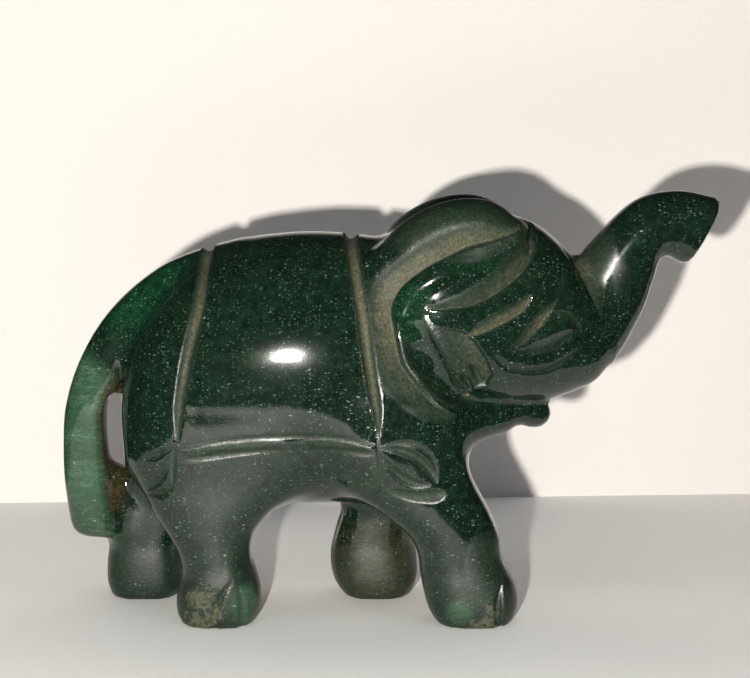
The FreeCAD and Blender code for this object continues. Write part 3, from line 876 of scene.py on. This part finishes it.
def sheet(name, corners, material):
    mesh = bpy.data.meshes.new(name)
    mesh.from_pydata([[c * MM for c in corner] for corner in corners], [], [(0, 1, 2, 3)])
    thing = bpy.data.objects.new(name, mesh)
    bpy.context.scene.collection.objects.link(thing)
    mesh.materials.append(material)


def paper(name, colour, mirrored_low, mirrored_high, fade, waver=0.0, slant=0.0):
    """Matt white surface, seen from its front only.

    The stone mirrors only the part of it between two corners, which fades out over fade mm. The edge of
    that part wavers by up to waver mm and slants by slant mm for each mm along +X.
    """
    n = Nodes(name)
    place = n.stretched(n.add("ShaderNodeTexCoord", output=3), 1000, 1000, 1000)
    tone = n.mix(n.noise(place, 0.012, 4.0, 0.6), [c * 0.97 for c in colour] + [1], list(colour) + [1])
    grain = n.noise(place, 1.5, 3.0, 0.6)
    tooth = n.add("ShaderNodeBump", {"Strength": 0.15, "Distance": 0.0002, "Height": grain})
    front = n.add("ShaderNodeBsdfPrincipled", {
        "Base Color": tone, "Roughness": 0.75, "Specular IOR Level": 0.2, "Normal": tooth,
    })
    clear = n.add("ShaderNodeBsdfTransparent")
    hidden = n.add("ShaderNodeNewGeometry", output=6)
    mirror_ray = n.add("ShaderNodeLightPath", output=3)
    edge = n.math("MULTIPLY", n.math("SUBTRACT", n.noise(place, 0.05, 3.0, 0.6), 0.5), waver)
    slanted = n.math("MULTIPLY", n.add("ShaderNodeSeparateXYZ", {0: place}), -slant)
    for axis in range(3):
        where = n.math("ADD", n.add("ShaderNodeSeparateXYZ", {0: place}, output=axis), edge)
        where = n.math("ADD", where, slanted) if axis == 1 else where
        outside = n.math("MAXIMUM", n.band(where, mirrored_low[axis], mirrored_low[axis] - fade),
                         n.band(where, mirrored_high[axis], mirrored_high[axis] + fade))
        hidden = n.math("MAXIMUM", hidden, n.math("MULTIPLY", mirror_ray, outside))
    surface = n.add("ShaderNodeMixShader", {0: hidden, 1: front, 2: clear})
    n.add("ShaderNodeOutputMaterial", {"Surface": surface})
    return n.material


def stage():
    floor = paper("pale_floor", (0.92, 0.91, 0.89), (-80, SHEET_FRONT, -9), (200, 300, 9),
                  fade=1.5, waver=14, slant=SHEET_SLANT)
    r = ROOM_REACH
    sheet("floor", [(-r, -r, 0), (r, -r, 0), (r, r, 0), (-r, r, 0)], floor)
    wall = paper("pale_wall", (0.72, 0.69, 0.665), (-50, 0, -9), (60, 200, 44), fade=45)
    turn = math.radians(WALL_TURN)
    dx, dy = r * math.cos(turn), r * math.sin(turn)
    near, far = WALL_Y - dy, WALL_Y + dy
    sheet("wall", [(-dx, near, 0), (dx, far, 0), (dx, far, r), (-dx, near, r)], wall)


def camera():
    data = bpy.data.cameras.new("camera")
    data.lens = LENS
    data.sensor_width = 36
    data.clip_start = 0.01
    thing = bpy.data.objects.new("camera", data)
    thing.location = (-1.5 * MM, -CAMERA_DISTANCE * MM, EYE_HEIGHT * MM)
    thing.rotation_euler = (math.radians(90 - PITCH), 0, 0)
    bpy.context.scene.collection.objects.link(thing)
    bpy.context.scene.camera = thing


def softbox(name, place, aim, size, power, colour=(1, 1, 1), mirrored=True):
    data = bpy.data.lights.new(name, "AREA")
    data.shape = "RECTANGLE"
    data.size, data.size_y = size[0] * MM, size[1] * MM
    data.energy = power
    data.color = colour
    thing = bpy.data.objects.new(name, data)
    thing.location = [c * MM for c in place]
    direction = np.array(aim, float) - np.array(place, float)
    yaw = math.atan2(direction[1], direction[0]) - math.pi / 2
    tilt = math.atan2(direction[2], math.hypot(direction[0], direction[1]))
    thing.rotation_euler = (math.pi / 2 + tilt, 0, yaw)
    thing.visible_glossy = mirrored
    bpy.context.scene.collection.objects.link(thing)


def lights():
    softbox("key", (-21, -243, 47.5), (0, 0, 30), (4.2, 4.4), 1.1, (1.0, 0.965, 0.90))
    softbox("overhead", (0, -180, 420), (0, -90, 0), (300, 200), 0.20, (0.95, 0.98, 1.0), mirrored=False)
    world = bpy.data.worlds.new("room")
    bpy.context.scene.world = world
    world.use_nodes = True
    tree = world.node_tree
    tree.nodes.clear()
    ray = tree.nodes.new("ShaderNodeLightPath")
    shine = tree.nodes.new("ShaderNodeBackground")
    shine.inputs[0].default_value = (0.040, 0.049, 0.070, 1)
    dark = tree.nodes.new("ShaderNodeBackground")
    dark.inputs[0].default_value = (0.016, 0.018, 0.017, 1)
    mixed = tree.nodes.new("ShaderNodeMixShader")
    output = tree.nodes.new("ShaderNodeOutputWorld")
    tree.links.new(ray.outputs["Is Glossy Ray"], mixed.inputs[0])
    tree.links.new(shine.outputs[0], mixed.inputs[1])
    tree.links.new(dark.outputs[0], mixed.inputs[2])
    tree.links.new(mixed.outputs[0], output.inputs[0])
    bpy.context.scene.view_settings.view_transform = "Standard"


# ======================= build =======================
stone_piece = bpy.data.objects.new("carved_stone", carved_mesh())
bpy.context.scene.collection.objects.link(stone_piece)
stone_piece.data.materials.append(jade())
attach(stone_piece, "root")
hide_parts("carved_elephant")
stage()
camera()
lights()
